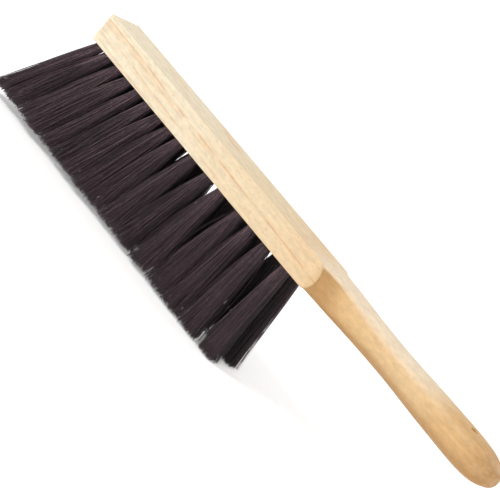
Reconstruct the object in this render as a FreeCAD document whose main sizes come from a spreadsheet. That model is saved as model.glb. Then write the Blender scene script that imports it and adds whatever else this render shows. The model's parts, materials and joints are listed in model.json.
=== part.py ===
"""Bee brush: a beech block sawn in one piece with its handle, and two rows of horsehair tufts.

The frame: +X runs from the free end of the block to the handle, +Z is up, away from the bristles,
and -Y is the front side. The origin is under the middle of the bounding box, at the bristle tips.
Each tuft is folded round a flat wire anchor at the bottom of its hole, and bends at its root.
"""
import FreeCAD, Part
import math
import os
from FreeCAD import Placement, Rotation, Vector

SIZES = {
    # wood
    "overall_length": 356.0,  # free end of the block to the tip of the handle
    "block_width": 24.0,
    "block_thickness": 17.4,
    "flat_side_length": 205.2,  # along the top and bottom edges of the flat side
    "side_end_bulge": 5.0,  # how far the rounded end of the flat side stands past those edges
    "nose_length": 25.0,
    "nose_squareness": 2.5,  # 2 would be a plain ellipse
    "nose_rounding": 1.1,
    "hanging_hole_radius": 2.25,
    "hanging_hole_from_tip": 27.0,
    # tufts
    "row_offset": 6.5,  # centre of a row from the middle of the block
    "front_first_hole": 4.5,  # centre of each row's first hole from the free end
    "back_first_hole": 4.0,
    "hole_radius": 3.3,
    "hole_depth": 11.0,
    "tuft_root_radius": 3.1,
    "tuft_tip_radius": 4.3,
    "tip_depth_free_end": 56.5,  # bristle tips below the block, at its free end
    "tip_depth_handle_end": 61.4,  # and at its handle end
    "lean_free_end": 30.5,  # degrees away from the handle, at the free end of the block
    "lean_handle_end": -3.3,  # and at its handle end, where they lean a little towards it
    "row_flare": 3.3,  # degrees outwards, each row
    "bend_depth": 3.6,  # axis that the tufts bend about, below the block
    # the part of each tuft that is fixed in its hole
    "root_plug_radius": 3.2,
    "root_plug_length": 8.6,
    "anchor_width": 6.0,
    "anchor_height": 2.2,
    "anchor_thickness": 0.45,
    "anchor_setback": 1.2,  # hair folded over the anchor's inner edge
    "anchor_clearance": 0.06,
}

# sections across the handle: distance from the free end, half width, half height, corner radius
HANDLE_SECTIONS = (
    ("buried", 199.0, 11.2, 8.55, 3.0),
    ("shoulder", 207.0, 11.5, 8.6, 2.8),
    ("scoop", 213.0, 10.5, 8.65, 2.8),
    ("throat", 221.0, 9.8, 8.75, 3.2),
    ("run_out", 236.0, 9.7, 8.8, 5.6),
    ("neck", 252.0, 9.8, 8.8, 7.6),
    ("waist", 276.0, 9.9, 8.8, 8.2),
    ("grip", 301.0, 10.9, 9.2, 8.3),
    ("palm", 320.0, 11.35, 9.35, 8.5),
)
# the nose shrinks as a squarish ellipse does; it has sections at these parts of its length
NOSE_STEPS = (0.2, 0.5, 0.75, 0.91, 0.985)

ROWS = {"front": -1.0, "back": 1.0}
# the gaps between the holes of a row, from the free end: nearly even there, then wider and uneven
HOLE_GAPS = {
    "front": (9.0,) + (10.3,) * 7 + (13.5, 15.0, 12.5, 17.5, 12.5, 13.5, 18.0),
    "back": (8.5,) * 2 + (9.8,) * 7 + (8.0,) * 2 + (16.0, 8.0, 11.5, 13.0, 17.0, 16.0),
}


def make_sheet(doc):
    """The driving dimensions, one aliased cell each, in millimetres and degrees."""
    sheet = doc.addObject("Spreadsheet::Sheet", "sizes")
    cells = dict(SIZES)
    for name, station, half_width, half_height, corner in HANDLE_SECTIONS:
        cells[name + "_station"] = station
        cells[name + "_half_width"] = half_width
        cells[name + "_half_height"] = half_height
        cells[name + "_corner"] = corner
    for row, gaps in HOLE_GAPS.items():
        for number, gap in enumerate(gaps, start=1):
            cells["%s_gap_%02d" % (row, number)] = gap
    for line, (alias, value) in enumerate(cells.items(), start=1):
        sheet.set("A%d" % line, alias)
        sheet.set("B%d" % line, str(value))
        sheet.setAlias("B%d" % line, alias)
    doc.recompute()
    return sheet


def origin_plane(body, role):
    return next(f for f in body.Origin.OriginFeatures if f.Role == role)


def new_sketch(body, name, role, offset=Placement()):
    sketch = body.newObject("Sketcher::SketchObject", name)
    sketch.AttachmentSupport = [(origin_plane(body, role), "")]
    sketch.MapMode = "FlatFace"
    sketch.AttachmentOffset = offset
    return sketch


def add_block(doc, body, sheet):
    """The block: straight, with its two sides flat and each side's handle end rounded like a D."""
    length = sheet.flat_side_length
    thick = sheet.block_thickness
    tip = Vector(length + sheet.side_end_bulge, thick / 2, 0)
    corners = [Vector(length, 0, 0), Vector(0, 0, 0), Vector(0, thick, 0), Vector(length, thick, 0)]
    sketch = new_sketch(body, "block_side", "XZ_Plane")
    for start, end in zip(corners, corners[1:]):
        sketch.addGeometry(Part.LineSegment(start, end))
    sketch.addGeometry(Part.Arc(corners[-1], tip, corners[0]))
    pad = body.newObject("PartDesign::Pad", "block")
    pad.Profile = sketch
    pad.setExpression("Length", "sizes.block_width")
    pad.Midplane = True
    doc.recompute()
    return pad


def rounded_section(sketch, half_width, half_height, corner):
    """A rectangle with round corners about the sketch's centre: four sides and four arcs."""
    flat = half_width - corner
    rise = half_height - corner
    centres = ((flat, rise, 0.0), (-flat, rise, 90.0), (-flat, -rise, 180.0), (flat, -rise, 270.0))
    ends = []
    for x, y, angle in centres:
        circle = Part.Circle(Vector(x, y, 0), Vector(0, 0, 1), corner)
        arc = Part.ArcOfCircle(circle, math.radians(angle), math.radians(angle + 90.0))
        sketch.addGeometry(arc)
        ends.append((arc.StartPoint, arc.EndPoint))
    for here, after in zip(ends, ends[1:] + ends[:1]):
        sketch.addGeometry(Part.LineSegment(here[1], after[0]))


def handle_sections(sheet):
    """(name, station, half width, half height, corner radius) of every section of the handle."""
    sections = []
    for name, *_ in HANDLE_SECTIONS:
        ends = ("_station", "_half_width", "_half_height", "_corner")
        sections.append([name] + [sheet.get(name + end) for end in ends])
    palm = sections[-1][2:]
    start = sheet.overall_length - sheet.nose_length
    for number, step in enumerate(NOSE_STEPS):
        reach = step / NOSE_STEPS[-1]
        shrink = (1.0 - step ** sheet.nose_squareness) ** (1.0 / sheet.nose_squareness)
        sizes = [size * shrink for size in palm]
        sections.append(["nose_%d" % number, start + reach * sheet.nose_length] + sizes)
    return sections


def add_handle(doc, body, sheet):
    """The handle: scooped in behind the block's flat sides, waisted, fuller at the palm."""
    sketches = []
    for name, station, *sizes in handle_sections(sheet):
        offset = Placement(Vector(0, sheet.block_thickness / 2, station), Rotation())
        sketch = new_sketch(body, name + "_section", "YZ_Plane", offset)
        rounded_section(sketch, *sizes)
        sketches.append(sketch)
    loft = body.newObject("PartDesign::AdditiveLoft", "handle")
    loft.Profile = sketches[0]
    loft.Sections = sketches[1:]
    loft.Ruled = False
    doc.recompute()
    return loft


def round_the_nose(doc, body, sheet, handle):
    """Rounds the rim of the handle's end face."""
    edges = []
    for number, edge in enumerate(handle.Shape.Edges, start=1):
        box = edge.BoundBox
        if box.XMin > sheet.overall_length - 0.01:
            edges.append("Edge%d" % number)
    fillet = body.newObject("PartDesign::Fillet", "nose_rounding")
    fillet.Base = (handle, edges)
    fillet.setExpression("Radius", "sizes.nose_rounding")
    doc.recompute()
    return fillet


def add_hanging_hole(doc, body, sheet):
    """A hole down through the palm of the handle, to hang the brush on a nail or cord."""
    before = body.Shape.Volume
    sketch = new_sketch(body, "hanging_hole_circle", "XY_Plane")
    centre = Vector(sheet.overall_length - sheet.hanging_hole_from_tip, 0, 0)
    sketch.addGeometry(Part.Circle(centre, Vector(0, 0, 1), sheet.hanging_hole_radius))
    pocket = body.newObject("PartDesign::Pocket", "hanging_hole")
    pocket.Profile = sketch
    pocket.Midplane = True
    pocket.setExpression("Length", "4 * sizes.block_thickness")
    doc.recompute()
    if body.Shape.Volume >= before:
        raise RuntimeError("the hanging hole cuts nothing")
    return pocket


class Tuft:
    """Where one tuft stands: its mouth at the block's face, its direction, and its length."""

    def __init__(self, sheet, row, number):
        gaps = [sheet.get("%s_gap_%02d" % (row, before)) for before in range(1, number)]
        station = sheet.get(row + "_first_hole") + sum(gaps)
        along = station / sheet.flat_side_length
        lean = -sheet.lean_free_end + (sheet.lean_free_end - sheet.lean_handle_end) * along
        depth_gain = sheet.tip_depth_handle_end - sheet.tip_depth_free_end
        depth = sheet.tip_depth_free_end + depth_gain * along
        slope_x = math.tan(math.radians(lean))
        slope_y = ROWS[row] * math.tan(math.radians(sheet.row_flare))
        self.down = Vector(slope_x, slope_y, -1.0).normalize()
        self.mouth = Vector(station, ROWS[row] * sheet.row_offset, 0.0)
        self.bend = self.mouth + self.down * (sheet.bend_depth / -self.down.z)
        self.length = (depth - sheet.bend_depth) / -self.down.z

    def place(self, point):
        """A placement at point whose own +Z runs up the tuft, towards the block."""
        return Placement(point, Rotation(Vector(0, 0, 1), self.down * -1.0))


def all_tufts(sheet, row):
    """(number, tuft) of each tuft in a row, counted from the free end."""
    return [(number, Tuft(sheet, row, number)) for number in range(1, len(HOLE_GAPS[row]) + 2)]


def add_holes(doc, sheet, blank, lift):
    """Blind holes, one for each tuft, drilled along the tufts' own directions."""
    drills = []
    for row in ROWS:
        for number, tuft in all_tufts(sheet, row):
            drill = doc.addObject("Part::Cylinder", "%s_drill_%02d" % (row, number))
            drill.setExpression("Radius", "sizes.hole_radius")
            drill.setExpression("Height", "sizes.hole_depth + 2 * sizes.hole_radius")
            start = tuft.mouth + tuft.down * (2 * sheet.hole_radius)
            drill.Placement = tuft.place(start)
            drills.append(drill)
    holes = doc.addObject("Part::MultiFuse", "tuft_holes")
    holes.Shapes = drills
    wood = doc.addObject("Part::Cut", "handle_block")
    wood.Base = blank
    wood.Tool = holes
    wood.Placement = lift
    doc.recompute()
    if wood.Shape.Volume >= blank.Shape.Volume:
        raise RuntimeError("the tuft holes cut nothing")
    return wood


def make_wood(doc, sheet, lift):
    blank = doc.addObject("PartDesign::Body", "wood_blank")
    add_block(doc, blank, sheet)
    handle = add_handle(doc, blank, sheet)
    round_the_nose(doc, blank, sheet, handle)
    add_hanging_hole(doc, blank, sheet)
    return add_holes(doc, sheet, blank, lift)


def make_free_tuft(doc, name, tuft, lift):
    """The free length of a tuft: a slim cone, round at the bend, wider at the trimmed tips."""
    hair = doc.addObject("Part::Cone", name + "_hair")
    hair.setExpression("Radius1", "sizes.tuft_tip_radius")
    hair.setExpression("Radius2", "sizes.tuft_root_radius")
    hair.Height = tuft.length
    hair.Placement = tuft.place(tuft.bend + tuft.down * tuft.length)
    knuckle = doc.addObject("Part::Sphere", name + "_bend")
    knuckle.setExpression("Radius", "sizes.tuft_root_radius")
    knuckle.Placement = tuft.place(tuft.bend)
    whole = doc.addObject("Part::Fuse", name)
    whole.Base = hair
    whole.Tool = knuckle
    whole.Placement = lift
    return whole


def make_root_plug(doc, sheet, name, tuft):
    """The end of a tuft that is held in its hole, slotted where it folds round its anchor."""
    top = tuft.mouth - tuft.down * (sheet.hole_depth - sheet.anchor_clearance)
    hair = doc.addObject("Part::Cylinder", name + "_hair")
    hair.setExpression("Radius", "sizes.root_plug_radius")
    hair.setExpression("Height", "sizes.root_plug_length")
    hair.Placement = tuft.place(top + tuft.down * sheet.root_plug_length)
    slot = doc.addObject("Part::Box", name + "_slot")
    slot.setExpression("Length", "2 * sizes.hole_radius")
    slot.setExpression("Width", "sizes.anchor_thickness + 2 * sizes.anchor_clearance")
    slot.setExpression("Height", "sizes.root_plug_length - sizes.anchor_setback")
    low = tuft.place(top + tuft.down * sheet.root_plug_length)
    half = sheet.anchor_thickness / 2 + sheet.anchor_clearance
    slot.Placement = low * Placement(Vector(-sheet.hole_radius, -half, 0), Rotation())
    plug = doc.addObject("Part::Cut", name)
    plug.Base = hair
    plug.Tool = slot
    return plug


def make_anchor(doc, sheet, name, tuft):
    """A short length of flat wire across the bottom of the hole."""
    anchor = doc.addObject("Part::Box", name)
    anchor.setExpression("Length", "sizes.anchor_width")
    anchor.setExpression("Width", "sizes.anchor_thickness")
    anchor.setExpression("Height", "sizes.anchor_height")
    gap = sheet.anchor_setback + 2 * sheet.anchor_clearance
    low = tuft.mouth - tuft.down * (sheet.hole_depth - gap - sheet.anchor_height)
    half_width = sheet.anchor_width / 2
    half_thick = sheet.anchor_thickness / 2
    centred = Placement(Vector(-half_width, -half_thick, 0), Rotation())
    anchor.Placement = tuft.place(low) * centred
    return anchor


def make_group(doc, name, members, lift):
    """Separate solids that share one node."""
    group = doc.addObject("Part::Compound", name)
    group.Links = members
    group.Placement = lift
    return group


def make_row(doc, sheet, row, lift):
    nodes = []
    roots = []
    anchors = []
    for number, tuft in all_tufts(sheet, row):
        name = "%s_tuft_%02d" % (row, number)
        nodes.append(make_free_tuft(doc, name, tuft, lift))
        roots.append(make_root_plug(doc, sheet, "%s_root_%02d" % (row, number), tuft))
        anchors.append(make_anchor(doc, sheet, "%s_anchor_%02d" % (row, number), tuft))
    nodes.append(make_group(doc, row + "_tuft_roots", roots, lift))
    nodes.append(make_group(doc, row + "_wire_anchors", anchors, lift))
    return nodes


def origin_lift(sheet):
    """Moves the model so that the origin is under the middle of its bounding box."""
    low_x = sheet.overall_length
    low_z = 0.0
    for _, tuft in all_tufts(sheet, "front") + all_tufts(sheet, "back"):
        tip = tuft.bend + tuft.down * tuft.length
        slant = math.sqrt(1.0 - tuft.down.x ** 2)
        upright = math.sqrt(1.0 - tuft.down.z ** 2)
        low_x = min(low_x, tip.x - sheet.tuft_tip_radius * slant)
        low_z = min(low_z, tip.z - sheet.tuft_tip_radius * upright)
    middle = (low_x + sheet.overall_length) / 2
    return Placement(Vector(-middle, 0, -low_z), Rotation())


def check(doc, nodes):
    for item in doc.Objects:
        if "Invalid" in item.State or "Error" in item.State:
            raise RuntimeError("%s is not valid: %s" % (item.Name, item.State))
    for node in nodes:
        if node.Shape.isNull() or not node.Shape.isValid():
            raise RuntimeError("%s has no valid shape" % node.Name)
        if not node.Shape.Solids:
            raise RuntimeError("%s has no solid" % node.Name)


def main():
    os.makedirs("parts", exist_ok=True)
    doc = FreeCAD.newDocument("bee_brush")
    sheet = make_sheet(doc)
    lift = origin_lift(sheet)
    nodes = [make_wood(doc, sheet, lift)]
    for row in ROWS:
        nodes += make_row(doc, sheet, row, lift)
    doc.recompute()
    for node in nodes:
        node.Label = node.Name
    check(doc, nodes)
    whole = Part.makeCompound([node.Shape for node in nodes]).BoundBox
    print("box %.2f..%.2f  %.2f..%.2f  %.2f..%.2f" % (
        whole.XMin, whole.XMax, whole.YMin, whole.YMax, whole.ZMin, whole.ZMax))
    for node in nodes:
        node.Shape.exportStep("parts/%s.step" % node.Label)
    print("%d nodes, lift %.3f %.3f" % (len(nodes), lift.Base.x, lift.Base.z))


main()
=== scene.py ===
"""Bee brush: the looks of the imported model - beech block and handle, horsehair tufts, studio.

All lengths are in metres, in the frame of the CAD model: +X towards the handle, +Z up,
-Y the front side. Places come from the model's own boxes, mounts and joints.
"""
import json
import math
import random
from collections import namedtuple

import bmesh
import bpy
from mathutils import Matrix, Vector


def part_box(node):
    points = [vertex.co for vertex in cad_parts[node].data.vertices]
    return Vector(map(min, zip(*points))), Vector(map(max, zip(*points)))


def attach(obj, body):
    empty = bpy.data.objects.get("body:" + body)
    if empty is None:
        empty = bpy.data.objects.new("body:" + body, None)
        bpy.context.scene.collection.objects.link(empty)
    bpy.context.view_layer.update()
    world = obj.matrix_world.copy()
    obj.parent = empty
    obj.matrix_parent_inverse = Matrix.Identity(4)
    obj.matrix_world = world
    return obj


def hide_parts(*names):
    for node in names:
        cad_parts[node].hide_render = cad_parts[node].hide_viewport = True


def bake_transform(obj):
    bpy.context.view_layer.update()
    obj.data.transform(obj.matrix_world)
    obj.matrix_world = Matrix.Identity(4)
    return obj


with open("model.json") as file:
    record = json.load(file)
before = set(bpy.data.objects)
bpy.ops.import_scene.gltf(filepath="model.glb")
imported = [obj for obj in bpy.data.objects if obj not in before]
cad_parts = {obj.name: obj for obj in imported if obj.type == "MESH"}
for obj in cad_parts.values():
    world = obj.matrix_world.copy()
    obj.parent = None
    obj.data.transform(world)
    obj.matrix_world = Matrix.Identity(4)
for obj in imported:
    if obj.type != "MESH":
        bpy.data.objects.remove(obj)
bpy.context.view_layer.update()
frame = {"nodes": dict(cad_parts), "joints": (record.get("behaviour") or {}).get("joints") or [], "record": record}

MM = 0.001

# ---------------------------------------------------------------- places taken from the frame

MOUNTS = {mount["name"]: mount for mount in frame["record"]["mounts"]}
JOINTS = {joint["name"]: joint for joint in frame["joints"]}
BLOCK_TOP = MOUNTS["block_top"]["pos_m"][2]
BLOCK_MIDDLE = MOUNTS["hanging_hole"]["pos_m"][2]
BLOCK_FACE = 2 * BLOCK_MIDDLE - BLOCK_TOP
FREE_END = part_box("handle_block")[0][0]
BODIES = frame["record"]["behaviour"]["bodies"]


# ---------------------------------------------------------------- node helpers

def new_material(name):
    """An empty material with a Principled shader, and its node tree."""
    material = bpy.data.materials.new(name)
    material.use_nodes = True
    tree = material.node_tree
    tree.nodes.clear()
    output = tree.nodes.new("ShaderNodeOutputMaterial")
    shader = tree.nodes.new("ShaderNodeBsdfPrincipled")
    tree.links.new(shader.outputs["BSDF"], output.inputs["Surface"])
    return material, tree, shader


def plug(tree, socket, value):
    """Sets a socket to a number, colour or vector, or links another socket to it."""
    if isinstance(value, bpy.types.NodeSocket):
        tree.links.new(value, socket)
    else:
        socket.default_value = value


def maths(tree, operation, first, second=0.0, third=0.0):
    node = tree.nodes.new("ShaderNodeMath")
    node.operation = operation
    for socket, value in zip(node.inputs, (first, second, third)):
        plug(tree, socket, value)
    return node.outputs[0]


def scaled(tree, vector, scale):
    """The vector with each axis multiplied by its own number."""
    node = tree.nodes.new("ShaderNodeVectorMath")
    node.operation = "MULTIPLY"
    plug(tree, node.inputs[0], vector)
    node.inputs[1].default_value = scale
    return node.outputs[0]


def noise_value(tree, vector, scale=1.0, detail=3.0, roughness=0.5):
    node = tree.nodes.new("ShaderNodeTexNoise")
    plug(tree, node.inputs["Vector"], vector)
    node.inputs["Scale"].default_value = scale
    node.inputs["Detail"].default_value = detail
    node.inputs["Roughness"].default_value = roughness
    return node.outputs["Fac"]


def product(tree, first, *others):
    """All the values multiplied together."""
    for other in others:
        first = maths(tree, "MULTIPLY", first, other)
    return first


def remap(tree, value, low, high, to_low=0.0, to_high=1.0, smooth=True):
    """The value moved from low..high to to_low..to_high, and held at those ends."""
    node = tree.nodes.new("ShaderNodeMapRange")
    node.interpolation_type = "SMOOTHSTEP" if smooth else "LINEAR"
    plug(tree, node.inputs["Value"], value)
    ends = {"From Min": low, "From Max": high, "To Min": to_low, "To Max": to_high}
    for name, number in ends.items():
        plug(tree, node.inputs[name], number)
    return node.outputs["Result"]


def mixed(tree, factor, first, second):
    """The first colour changing to the second as the factor goes from 0 to 1."""
    node = tree.nodes.new("ShaderNodeMix")
    node.data_type = "RGBA"
    plug(tree, node.inputs["Factor"], factor)
    for name, colour in (("A", first), ("B", second)):
        opaque = colour if isinstance(colour, bpy.types.NodeSocket) else (*colour, 1.0)
        plug(tree, node.inputs[name], opaque)
    return node.outputs["Result"]


def shaded(tree, colour, value):
    """The colour made darker or lighter by a factor."""
    node = tree.nodes.new("ShaderNodeHueSaturation")
    plug(tree, node.inputs["Value"], value)
    plug(tree, node.inputs["Color"], colour)
    return node.outputs["Color"]


def object_millimetres(tree):
    """Object coordinates in millimetres."""
    place = tree.nodes.new("ShaderNodeTexCoord")
    return scaled(tree, place.outputs["Object"], (1.0 / MM, 1.0 / MM, 1.0 / MM))


def facing_up(tree):
    """How far the surface faces up: 1 on top, -1 underneath."""
    place = tree.nodes.new("ShaderNodeTexCoord")
    return axes(tree, place.outputs["Normal"])[2]


def axes(tree, vector):
    """The X, Y and Z of a vector."""
    node = tree.nodes.new("ShaderNodeSeparateXYZ")
    plug(tree, node.inputs[0], vector)
    return node.outputs


def bumped(tree, shader, height, strength, distance):
    """Raises the shader's surface by the height, without moving the mesh."""
    node = tree.nodes.new("ShaderNodeBump")
    node.inputs["Strength"].default_value = strength
    node.inputs["Distance"].default_value = distance
    plug(tree, node.inputs["Height"], height)
    tree.links.new(node.outputs["Normal"], shader.inputs["Normal"])


# ---------------------------------------------------------------- materials

# (millimetres from the free end, colour): the handle is more golden and darker towards its end; the darker stop at
# 214 is painted shade in the scoop behind the block
BEECH_ALONG = (
    (0.0, (0.82, 0.73, 0.55)),
    (70.0, (0.81, 0.71, 0.53)),
    (150.0, (0.77, 0.62, 0.41)),
    (203.0, (0.75, 0.55, 0.33)),
    (214.0, (0.71, 0.45, 0.20)),
    (290.0, (0.74, 0.51, 0.27)),
    (325.0, (0.66, 0.40, 0.165)),
    (356.0, (0.53, 0.29, 0.11)),
)
# painted highlight colour, for the upper side
PAINTED_HIGHLIGHT_CREAM = (0.86, 0.74, 0.57)
STRAW = (0.74, 0.52, 0.29)
RING_BROWN = (0.66, 0.30, 0.10)
FLECK_BROWN = (0.52, 0.24, 0.08)
# painted shade colour, for the scoop and the underside
PAINTED_SHADE_BROWN = (0.42, 0.215, 0.062)

# growth rings lie across the thickness: they sink towards the handle and tilt across the width
RING_SLOPE = 0.032
RING_TILT = 0.12
RING_WANDER = 3.0
RING_SCALE = 0.62
RING_DRIFT = 0.006  # how little they change along X
DARK_RING_ABOVE_FACE = 14.3
DARK_RING = (BLOCK_FACE + RING_SLOPE * FREE_END) / MM + DARK_RING_ABOVE_FACE
DARK_RING_HALF = 0.8

# how often each part of the grain changes in a millimetre along X, Y and Z
WANDER_GRAIN = (0.009, 0.03, 0.03)
BROKEN_GRAIN = (0.06, 0.5, 0.5)
STREAK_GRAIN = (0.03, 0.55, 0.55)
FIBRE_GRAIN = (0.14, 4.0, 4.0)
MOTTLE_GRAIN = (0.16, 0.42, 0.42)
FLECK_GRAIN = (0.22, 1.25, 1.25)
DRAWN_GRAIN = (0.8, 9.0, 9.0)


def from_end(distance):
    """X, in millimetres, at a distance in millimetres from the free end of the block."""
    return FREE_END / MM + distance


def colour_along(tree, x, stops):
    """A colour that changes smoothly along X through (millimetres from the free end, colour)."""
    here, colour = stops[0]
    for there, after in stops[1:]:
        colour = mixed(tree, remap(tree, x, from_end(here), from_end(there)), colour, after)
        here = there
    return colour


def growth_rings(tree, place):
    """(the faint rings, the one dark ring), each as a factor, both broken up along the grain."""
    x, y, z = axes(tree, place)[:3]
    wander = noise_value(tree, scaled(tree, place, WANDER_GRAIN), detail=2.0)
    depth = maths(tree, "MULTIPLY_ADD", x, RING_SLOPE, z)
    depth = maths(tree, "MULTIPLY_ADD", y, RING_TILT, depth)
    depth = maths(tree, "MULTIPLY_ADD", wander, RING_WANDER, depth)
    layers = tree.nodes.new("ShaderNodeCombineXYZ")
    plug(tree, layers.inputs["X"], maths(tree, "MULTIPLY", x, RING_DRIFT))
    plug(tree, layers.inputs["Z"], depth)
    ring = noise_value(tree, layers.outputs[0], RING_SCALE, 2.0, 0.6)
    broken = noise_value(tree, scaled(tree, place, BROKEN_GRAIN), roughness=0.65)
    faint = product(tree, remap(tree, ring, 0.53, 0.66), remap(tree, broken, 0.34, 0.62))
    apart = maths(tree, "ABSOLUTE", maths(tree, "SUBTRACT", depth, DARK_RING))
    dark = product(tree, remap(tree, apart, DARK_RING_HALF, 0.0),
                   remap(tree, broken, 0.36, 0.60, 0.1, 1.0),
                   remap(tree, x, from_end(240.0), from_end(200.0)))
    return faint, dark


def ray_flecks(tree, place):
    """Short brown dashes along the grain, as a factor: about one cell in five has one."""
    cells = tree.nodes.new("ShaderNodeTexVoronoi")
    plug(tree, cells.inputs["Vector"], scaled(tree, place, FLECK_GRAIN))
    cells.inputs["Scale"].default_value = 1.0
    cells.inputs["Randomness"].default_value = 1.0
    lot = axes(tree, cells.outputs["Color"])[0]
    return product(tree, remap(tree, cells.outputs["Distance"], 0.34, 0.10),
                   remap(tree, lot, 0.70, 0.86))


def painted_scoop_shade(tree, place, up):
    """Painted shade in the scoop behind the rounded ends of the flat sides, strongest where the surface faces less
    upwards.
    """
    x, y, _ = axes(tree, place)[:3]
    side = maths(tree, "ABSOLUTE", y)
    return product(tree, remap(tree, side, 11.85, 11.3),
                   remap(tree, x, from_end(236.0), from_end(212.0)),
                   remap(tree, x, from_end(198.0), from_end(204.0)),
                   remap(tree, up, 0.85, 0.35))


def painted_underside_shade(tree, place, up):
    """Painted shade on the handle's underside, darker towards the bottom."""
    x, _, z = axes(tree, place)[:3]
    low = remap(tree, z, BLOCK_MIDDLE / MM + 3.0, BLOCK_FACE / MM)
    under = maths(tree, "ADD", maths(tree, "MULTIPLY", low, 0.5),
                  remap(tree, up, 0.0, -0.8, 0.0, 0.5))
    return product(tree, under, remap(tree, x, from_end(205.0), from_end(222.0)))


def painted_top_highlight(tree, place, up):
    """Painted highlight: the upper side is paler from the end of the block to the grip."""
    x = axes(tree, place)[0]
    return product(tree, remap(tree, x, from_end(185.0), from_end(215.0)),
                   remap(tree, up, 0.35, 0.9),
                   remap(tree, x, from_end(325.0), from_end(280.0)))


def beech():
    """Pale beech, grain along X: faint rings, one dark ring, fibre streaks, brown ray flecks; with painted shade
    in the scoop and underneath, and a painted highlight on top.
    """
    material, tree, shader = new_material("beech")
    place = object_millimetres(tree)
    up = facing_up(tree)
    faint_rings, dark_ring = growth_rings(tree, place)
    flecks = ray_flecks(tree, place)
    streaks = noise_value(tree, scaled(tree, place, STREAK_GRAIN), detail=5.0, roughness=0.65)
    fibres = noise_value(tree, scaled(tree, place, FIBRE_GRAIN), roughness=0.6)
    mottle = noise_value(tree, scaled(tree, place, MOTTLE_GRAIN), roughness=0.6)

    colour = colour_along(tree, axes(tree, place)[0], BEECH_ALONG)
    straw = mixed(tree, 0.55, colour, STRAW)
    colour = mixed(tree, remap(tree, streaks, 0.36, 0.66, 0.0, 0.55), colour, straw)
    colour = mixed(tree, product(tree, faint_rings, 0.33), colour, RING_BROWN)
    colour = mixed(tree, product(tree, dark_ring, 0.62), colour, RING_BROWN)
    colour = mixed(tree, product(tree, flecks, 0.5), colour, FLECK_BROWN)
    # painted shade in the scoop and underneath, then a painted highlight on top
    colour = mixed(tree, product(tree, painted_scoop_shade(tree, place, up), 0.75), colour, PAINTED_SHADE_BROWN)
    colour = mixed(tree, painted_underside_shade(tree, place, up), colour, PAINTED_SHADE_BROWN)
    colour = mixed(tree, product(tree, painted_top_highlight(tree, place, up), 0.75), colour, PAINTED_HIGHLIGHT_CREAM)
    shade = product(tree, remap(tree, fibres, 0.2, 0.8, 0.96, 1.03, smooth=False),
                    remap(tree, mottle, 0.3, 0.7, 0.90, 1.05))
    plug(tree, shader.inputs["Base Color"], shaded(tree, colour, shade))
    plug(tree, shader.inputs["Roughness"], remap(tree, streaks, 0.3, 0.7, 0.40, 0.54))
    shader.inputs["Specular IOR Level"].default_value = 0.4
    height = maths(tree, "SUBTRACT", fibres, product(tree, flecks, 0.6))
    bumped(tree, shader, height, 0.2, 0.10 * MM)
    return material


# dark, brown and light strands
HAIR_COLOURS = (
    (0.016, 0.011, 0.014),
    (0.090, 0.055, 0.066),
    (0.240, 0.160, 0.176),
)


def horsehair():
    """Dark brown-black hair: each strand has its own tone, with a painted highlight near its root.

    The strands that face the other row are darker: painted shade between the rows.
    """
    material, tree, shader = new_material("horsehair")
    strand = tree.nodes.new("ShaderNodeAttribute")
    strand.attribute_name = "strand"
    tone, along, painted_row_shade = axes(tree, strand.outputs["Vector"])[:3]
    dark, brown, light = HAIR_COLOURS
    colour = mixed(tree, remap(tree, tone, 0.05, 0.65), dark, brown)
    colour = mixed(tree, remap(tree, tone, 0.70, 1.0), colour, light)
    place = object_millimetres(tree)
    mottle = noise_value(tree, place, 0.9, 4.0, 0.75)
    # the mottle is the hair's own tone; the root gets a painted highlight, and strands that face the other row get
    # painted shade
    shade = product(tree, remap(tree, mottle, 0.32, 0.68, 0.45, 1.6),
                    remap(tree, along, 0.05, 0.5, 1.45, 0.95),
                    remap(tree, painted_row_shade, 0.3, 0.75, 1.0, 0.3))
    plug(tree, shader.inputs["Base Color"], shaded(tree, colour, shade))
    plug(tree, shader.inputs["Roughness"], remap(tree, tone, 0.0, 1.0, 0.38, 0.6))
    shader.inputs["Specular IOR Level"].default_value = 0.4
    return material


def anchor_steel():
    """Drawn steel wire, hammered flat."""
    material, tree, shader = new_material("anchor_wire")
    place = object_millimetres(tree)
    drawn = noise_value(tree, scaled(tree, place, DRAWN_GRAIN))
    plug(tree, shader.inputs["Base Color"], mixed(tree, drawn, (0.35, 0.34, 0.33), (0.55, 0.54, 0.52)))
    plug(tree, shader.inputs["Roughness"], remap(tree, drawn, 0.2, 0.8, 0.3, 0.5))
    shader.inputs["Metallic"].default_value = 1.0
    bumped(tree, shader, drawn, 0.2, 0.03 * MM)
    return material


def paper(name, colour):
    """A plain studio surface that glows faintly, so that shadows stay soft."""
    material, tree, shader = new_material(name)
    cloud = noise_value(tree, object_millimetres(tree), 0.004, 2.0)
    dimmer = tuple(channel * 0.99 for channel in colour)
    plug(tree, shader.inputs["Base Color"], mixed(tree, cloud, colour, dimmer))
    shader.inputs["Roughness"].default_value = 0.9
    shader.inputs["Specular IOR Level"].default_value = 0.1
    shader.inputs["Emission Color"].default_value = (1.0, 1.0, 1.0, 1.0)
    shader.inputs["Emission Strength"].default_value = 0.3
    return material


# ---------------------------------------------------------------- pieces

WELD = 0.001 * MM
WOOD_VOXEL = 0.66 * MM
SANDING_PASSES = 5


def link(name, mesh):
    """A new object of the scene with this mesh."""
    thing = bpy.data.objects.new(name, mesh)
    bpy.context.scene.collection.objects.link(thing)
    return thing


def settle(thing):
    """Applies the object's modifiers to its mesh."""
    graph = bpy.context.evaluated_depsgraph_get()
    mesh = bpy.data.meshes.new_from_object(thing.evaluated_get(graph))
    thing.modifiers.clear()
    thing.data = mesh


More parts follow.
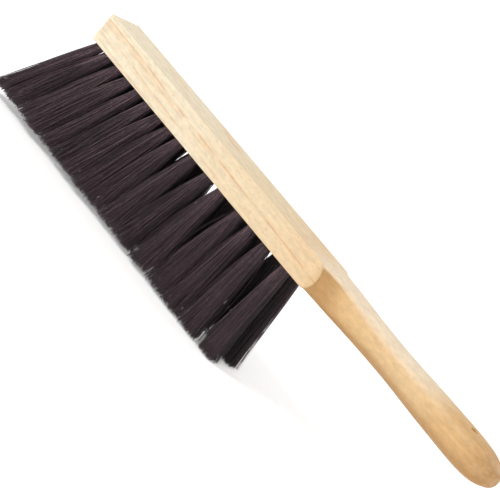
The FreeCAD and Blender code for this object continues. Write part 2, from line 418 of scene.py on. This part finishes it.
def make_wood(material):
    """The block and handle, its sharp edges eased as by sandpaper."""
    mesh = frame["nodes"]["handle_block"].data.copy()
    work = bmesh.new()
    work.from_mesh(mesh)
    bmesh.ops.remove_doubles(work, verts=work.verts, dist=WELD)
    work.to_mesh(mesh)
    work.free()
    wood = link("beech_block", mesh)
    remesh = wood.modifiers.new("even", "REMESH")
    remesh.mode = "VOXEL"
    remesh.voxel_size = WOOD_VOXEL
    remesh.use_smooth_shade = True
    smooth = wood.modifiers.new("sanded", "SMOOTH")
    smooth.factor = 0.5
    smooth.iterations = SANDING_PASSES
    settle(wood)
    wood.data.materials.clear()
    wood.data.materials.append(material)
    wood.data.polygons.foreach_set("use_smooth", [True] * len(wood.data.polygons))
    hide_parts("handle_block")
    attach(wood, "block")


# one hair
HAIRS = 400
HAIR_RADIUS = 0.17 * MM
THINNEST, THICKEST = 0.8, 1.25
TIP_THINNING = 0.45
HAIR_STEPS = 8
HAIR_SIDES = 3
TURN_BY_TONE = 6.0  # radians, so that the flat sides of the hairs face different ways
OFF_AXIS = Vector((0.31, 1.0, 0.17))  # a direction that no hair runs in
ROOT_INSIDE = 3.5 * MM
LOWEST_TIP = 0.2 * MM

# how far the hairs of a tuft spread from its middle: at its hole, just below it, and at the tips
ROOT_SPREAD = 3.05 * MM
MOUTH_FLARE = 0.45 * MM
TIP_SPREAD_ACROSS = 4.7 * MM
TIP_SPREAD_INWARDS = 6.6 * MM
TIP_SPREAD_OUTSIDE = 6.1 * MM
TIP_OVERLAP = 1.22  # of half the distance to the next tuft
# in the same measure, tufts that leave a gap to the next one in the trimmed edge
PARTED = {("front", 11): 0.85, ("front", 15): 0.92, ("back", 6): 0.85}

# hairs gather in clumps towards the tips, which take a share of their places and of their tone
CLUMPS = 9
CLUMP_PULL_ALONG = 0.2
CLUMP_PULL_ACROSS = 0.3
CLUMP_TONE = 0.45
CLUMP_TRIM = 0.4 * MM
Clump = namedtuple("Clump", "along across lift tone")

# unevenness: standard deviations, unless it says otherwise
TIP_SCATTER = 0.5 * MM
TRIM = 0.18 * MM
TRIM_LOWEST, TRIM_HIGHEST = -0.4 * MM, 0.6 * MM  # limits
BOW_ALONG = 0.8 * MM
BOW_ACROSS = 0.35 * MM
BOW_INWARDS = 0.3 * MM  # of a hair at the edge of its tuft
STRAYS = 0.12  # share of the hairs
STRAY_BOW = 2.6  # times as bowed as the others
END_TUFT_BOW = 0.2  # the tufts at the ends of a row keep a clean outline
WAVE = 0.2 * MM  # height
TUFT_SWAY = Vector((0.6, 0.5, 0.4)) * MM
TUFT_LIFT = 0.2 * MM  # mean

BACK_SEED = 1000  # so that no back tuft is a copy of a front one


def hair(vertices, faces, marks, points, radius, tone, painted_row_shade):
    """One strand: a three-sided tube along its points, thinner at the tip."""
    first = len(vertices)
    last = len(points) - 1
    for step, point in enumerate(points):
        along = step / last
        ahead = points[min(step + 1, last)] - points[max(step - 1, 0)]
        side = ahead.cross(OFF_AXIS).normalized()
        over = ahead.cross(side).normalized()
        thick = radius * (1.0 - TIP_THINNING * along * along)
        for corner in range(HAIR_SIDES):
            turn = 2 * math.pi * corner / HAIR_SIDES + tone * TURN_BY_TONE
            across = side * (thick * math.cos(turn)) + over * (thick * math.sin(turn))
            vertices.append(point + across)
            marks.append((tone, along, painted_row_shade))
    for step in range(last):
        here = first + HAIR_SIDES * step
        for corner in range(HAIR_SIDES):
            after = (corner + 1) % HAIR_SIDES
            ahead = here + HAIR_SIDES
            faces.append((here + corner, here + after, ahead + after, ahead + corner))
    end = first + HAIR_SIDES * last
    faces.append(tuple(reversed(range(first, first + HAIR_SIDES))))
    faces.append(tuple(range(end, end + HAIR_SIDES)))


def squared(along, across):
    """A point of the unit circle, moved outwards to the same place in the square around it."""
    longest = max(abs(along), abs(across), 1e-6)
    stretch = math.hypot(along, across) / longest
    return along * stretch, across * stretch


def strand_points(rng, mouth, tip, reaches, along, across, clump):
    """The course of one hair: straight out of its hole, then spreading towards the tips."""
    rise = (mouth - tip).normalized()
    start = mouth + Vector((along * ROOT_SPREAD, across * ROOT_SPREAD, 0))
    # hairs close up with those of the next tuft, so each tuft's tips fill a square
    wide_along, wide_across = squared(along, across)
    end_along = (1 - CLUMP_PULL_ALONG) * wide_along + CLUMP_PULL_ALONG * clump.along
    end_across = (1 - CLUMP_PULL_ACROSS) * wide_across + CLUMP_PULL_ACROSS * clump.across
    reach = reaches[0] if end_along < 0 else reaches[1]
    sideways = TIP_SPREAD_INWARDS if end_across * mouth.y < 0 else TIP_SPREAD_ACROSS
    end = tip + Vector((end_along * reach, end_across * sideways, 0))
    end.x += rng.gauss(0, TIP_SCATTER)
    end.y += rng.gauss(0, TIP_SCATTER)
    end.z += clump.lift + max(TRIM_LOWEST, min(rng.gauss(0.0, TRIM), TRIM_HIGHEST))
    end.z = max(end.z, LOWEST_TIP)
    bowed = STRAY_BOW if rng.random() < STRAYS else 1.0
    bow = Vector((rng.gauss(0, BOW_ALONG) - BOW_INWARDS * along, rng.gauss(0, BOW_ACROSS), 0))
    bow *= bowed
    if TIP_SPREAD_OUTSIDE in reaches:
        bow *= END_TUFT_BOW
    wave = rng.uniform(0, 2 * math.pi)
    points = [start + rise * ROOT_INSIDE]
    for step in range(HAIR_STEPS):
        t = step / (HAIR_STEPS - 1)
        point = start.lerp(end, t)
        point += bow * math.sin(math.pi * t)
        # fullest a quarter of the way down
        flare = MOUTH_FLARE * 4.0 * t * (1.0 - t) ** 3
        point.x += along * flare + WAVE * math.sin(wave + 7.0 * t) * t
        point.y += across * flare + WAVE * math.cos(wave + 6.0 * t) * t
        points.append(point)
    return points


def in_circle(rng):
    """A random point of the unit circle's inside, evenly spread."""
    turn = rng.uniform(0, 2 * math.pi)
    reach = math.sqrt(rng.random())
    return reach * math.cos(turn), reach * math.sin(turn)


def make_tuft(row, number, mouth, tip, reaches, material):
    """One tuft of loose hairs, which stands for its cone."""
    rng = random.Random(number if row == "front" else BACK_SEED + number)
    inwards = 1.0 if row == "front" else -1.0
    clumps = [Clump(*in_circle(rng), rng.gauss(0, CLUMP_TRIM), rng.random()) for _ in range(CLUMPS)]
    # no two tufts hang quite alike
    sway = Vector((rng.gauss(0, TUFT_SWAY.x), rng.gauss(0, TUFT_SWAY.y),
                   max(0.0, rng.gauss(TUFT_LIFT, TUFT_SWAY.z))))
    tip = tip + sway
    vertices, faces, marks = [], [], []
    for _ in range(HAIRS):
        clump = rng.choice(clumps)
        along, across = in_circle(rng)
        points = strand_points(rng, mouth, tip, reaches, along, across, clump)
        tone = (1 - CLUMP_TONE) * rng.random() + CLUMP_TONE * clump.tone
        # how far the strand faces the other row; the hair material darkens these strands as painted shade
        painted_row_shade = 0.5 + 0.5 * across * inwards
        radius = HAIR_RADIUS * rng.uniform(THINNEST, THICKEST)
        hair(vertices, faces, marks, points, radius, tone, painted_row_shade)
    name = "%s_hair_%02d" % (row, number)
    mesh = bpy.data.meshes.new(name)
    mesh.from_pydata(vertices, [], faces)
    mesh.materials.append(material)
    mesh.polygons.foreach_set("use_smooth", [True] * len(mesh.polygons))
    attribute = mesh.attributes.new("strand", "FLOAT_VECTOR", "POINT")
    attribute.data.foreach_set("vector", [value for mark in marks for value in mark])
    tuft = link(name, mesh)
    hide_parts("%s_tuft_%02d" % (row, number))
    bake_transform(tuft)


RIM_BAND = 0.2 * MM  # points this close to the furthest one are on the rim of the cone's end


def tuft_places(row):
    """(number, mouth, tip, reaches) of each tuft in a row, from the ends of the CAD cones.

    The reaches are how far its hairs spread at their tips, towards -X and towards +X.
    """
    bend = Vector(JOINTS[row + "_row_flex"]["pos_m"])
    ends = []
    for node in BODIES[row + "_row"]:
        mesh = frame["nodes"][node].data
        points = [vertex.co for vertex in mesh.vertices]
        knuckle = [point.x for point in points if point.z > bend.z]
        root = Vector(((min(knuckle) + max(knuckle)) / 2, bend.y, bend.z))
        reach = max((point - root).length for point in points)
        rim = [point for point in points if (point - root).length > reach - RIM_BAND]
        tip = sum(rim, Vector()) / len(rim)
        mouth = root + (root - tip) * ((BLOCK_FACE - bend.z) / (root.z - tip.z))
        ends.append((mouth, tip))
    halves = []
    for number, (here, after) in enumerate(zip(ends, ends[1:]), start=1):
        halves.append((after[1].x - here[1].x) / 2 * PARTED.get((row, number), TIP_OVERLAP))
    befores = [TIP_SPREAD_OUTSIDE] + halves
    afters = halves + [TIP_SPREAD_OUTSIDE]
    return [(number, mouth, tip, (before, after)) for number, ((mouth, tip), before, after)
            in enumerate(zip(ends, befores, afters), start=1)]


# ---------------------------------------------------------------- studio

CAMERA_AZIMUTH = 35.5
CAMERA_ELEVATION = 13.72
CAMERA_ROLL = 40.75
CAMERA_DISTANCE = 1.89514
CAMERA_LENS = 268.65
CAMERA_SENSOR = 36.0
CAMERA_TARGET_ALONG = 150.0 * MM
CAMERA_SIDESTEP = -2.35 * MM
CAMERA_DROP = 13.8 * MM

FLOOR_HALF = 6.0
FLOOR_DROP = 0.2 * MM
FLOOR_COLOUR = (0.93, 0.93, 0.93)
SKY_STRENGTH = 0.66
# (name, place, diameter, watts, colour)
LIGHTS = (
    ("key", (-0.9, -1.1, 1.5), 0.7, 17.0, (1.0, 0.99, 0.97)),
    ("fill", (1.3, -1.2, 0.7), 1.2, 2.5, (1.0, 1.0, 1.0)),
    ("rim", (0.4, 1.4, 1.2), 1.0, 7.0, (1.0, 1.0, 1.0)),
)


def make_camera():
    """The long lens of the photograph, rolled so that the handle runs down to the right."""
    azimuth = math.radians(CAMERA_AZIMUTH)
    elevation = math.radians(CAMERA_ELEVATION)
    roll = math.radians(CAMERA_ROLL)
    back = Vector((math.sin(azimuth) * math.cos(elevation),
                   -math.cos(azimuth) * math.cos(elevation),
                   math.sin(elevation)))
    level_right = (-back).cross(Vector((0, 0, 1))).normalized()
    level_up = level_right.cross(-back)
    right = level_right * math.cos(roll) + level_up * math.sin(roll)
    up = level_up * math.cos(roll) - level_right * math.sin(roll)
    target = Vector((FREE_END + CAMERA_TARGET_ALONG, 0, BLOCK_FACE))
    target += right * CAMERA_SIDESTEP - up * CAMERA_DROP
    data = bpy.data.cameras.new("camera")
    data.sensor_width = CAMERA_SENSOR
    data.lens = CAMERA_LENS
    data.clip_start = 0.05
    data.clip_end = 50.0
    camera = bpy.data.objects.new("camera", data)
    bpy.context.scene.collection.objects.link(camera)
    turn = Matrix((right, up, back)).transposed()
    camera.matrix_world = Matrix.Translation(target + back * CAMERA_DISTANCE) @ turn.to_4x4()
    bpy.context.scene.camera = camera


def area_light(name, place, size, power, colour):
    """A round soft light that points at the middle of the block's face."""
    data = bpy.data.lights.new(name, "AREA")
    data.shape = "DISK"
    data.size = size
    data.energy = power
    data.color = colour
    light = bpy.data.objects.new(name, data)
    bpy.context.scene.collection.objects.link(light)
    light.location = place
    aim = Vector((0.0, 0.0, BLOCK_FACE)) - Vector(place)
    light.rotation_euler = aim.to_track_quat("-Z", "Y").to_euler()


def make_floor():
    mesh = bpy.data.meshes.new("floor")
    corners = [(x * FLOOR_HALF, y * FLOOR_HALF, 0) for x, y in ((-1, -1), (1, -1), (1, 1), (-1, 1))]
    mesh.from_pydata(corners, [], [(0, 1, 2, 3)])
    mesh.materials.append(paper("studio_floor", FLOOR_COLOUR))
    floor = link("floor", mesh)
    floor.location.z = -FLOOR_DROP


def make_studio():
    """A pale floor under a white sky, with three soft lights."""
    make_floor()
    world = bpy.data.worlds.new("studio")
    bpy.context.scene.world = world
    world.use_nodes = True
    background = world.node_tree.nodes["Background"]
    background.inputs["Color"].default_value = (1.0, 1.0, 1.0, 1.0)
    background.inputs["Strength"].default_value = SKY_STRENGTH
    bpy.context.scene.view_settings.view_transform = "Standard"
    for name, place, size, power, colour in LIGHTS:
        area_light(name, place, size, power, colour)


def main():
    make_camera()
    make_studio()
    hair_material = horsehair()
    steel = anchor_steel()
    make_wood(beech())
    for row in ("front", "back"):
        for number, mouth, tip, reaches in tuft_places(row):
            make_tuft(row, number, mouth, tip, reaches, hair_material)
        for node, material in ((row + "_tuft_roots", hair_material), (row + "_wire_anchors", steel)):
            cad = frame["nodes"][node]
            cad.data.materials.clear()
            cad.data.materials.append(material)


main()
